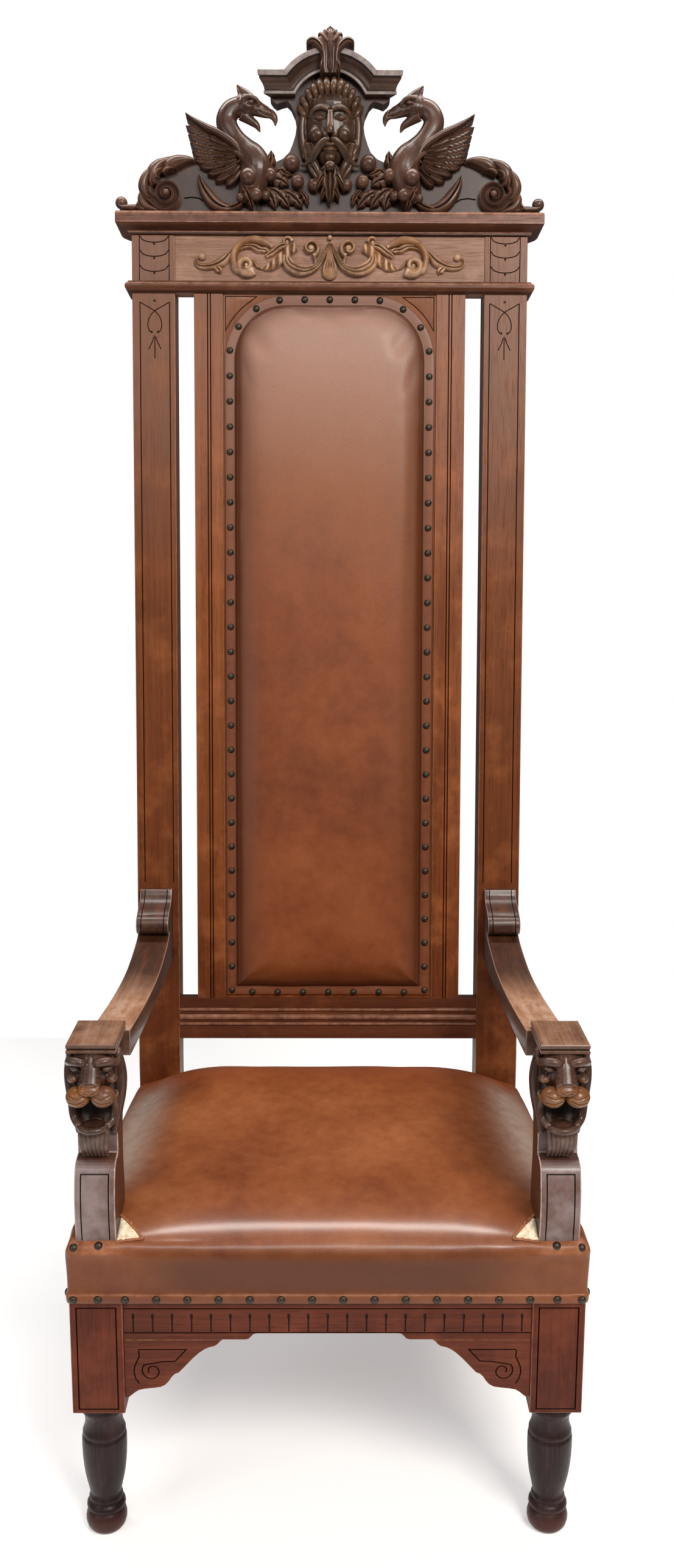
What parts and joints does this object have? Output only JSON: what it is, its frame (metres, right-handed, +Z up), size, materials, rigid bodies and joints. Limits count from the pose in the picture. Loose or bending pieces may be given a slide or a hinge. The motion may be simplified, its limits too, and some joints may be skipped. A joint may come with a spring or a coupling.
{
  "type": "throne",
  "caption": "Tall carved oak armchair with a leather seat and back, lion-headed arm supports and a griffin crest with a mask.",
  "frame": {"origin": "on the floor, under the middle of the throne's bounding box", "axes": "+Z up the throne, its front towards -Y, +X to the viewer's right when facing it"},
  "size_m": [0.6591, 0.7374, 2.0236],
  "materials": {
    "oak": "stained and waxed oak",
    "dark_oak": "dark stained and varnished oak",
    "leather": "worn chestnut hide"
  },
  "bodies": {
    "root": {"front_leg_left": "dark_oak", "front_leg_right": "dark_oak", "back_post_left": "oak", "back_post_right": "oak", "front_rail": "oak", "side_rail_left": "oak", "side_rail_right": "oak", "back_rail": "oak", "bracket_left": "oak", "bracket_right": "oak", "seat_pad": "leather", "arm_left": "oak", "arm_right": "oak", "lion_support_left": "dark_oak", "lion_support_right": "dark_oak", "stile_left": "oak", "stile_right": "oak", "lower_rail": "oak", "back_panel": "oak", "back_pad": "leather", "frieze_board": "oak", "bead_moulding": "oak", "cornice": "oak", "crest": "dark_oak", "hood": "dark_oak", "mask": "dark_oak"}
  },
  "joints": []
}
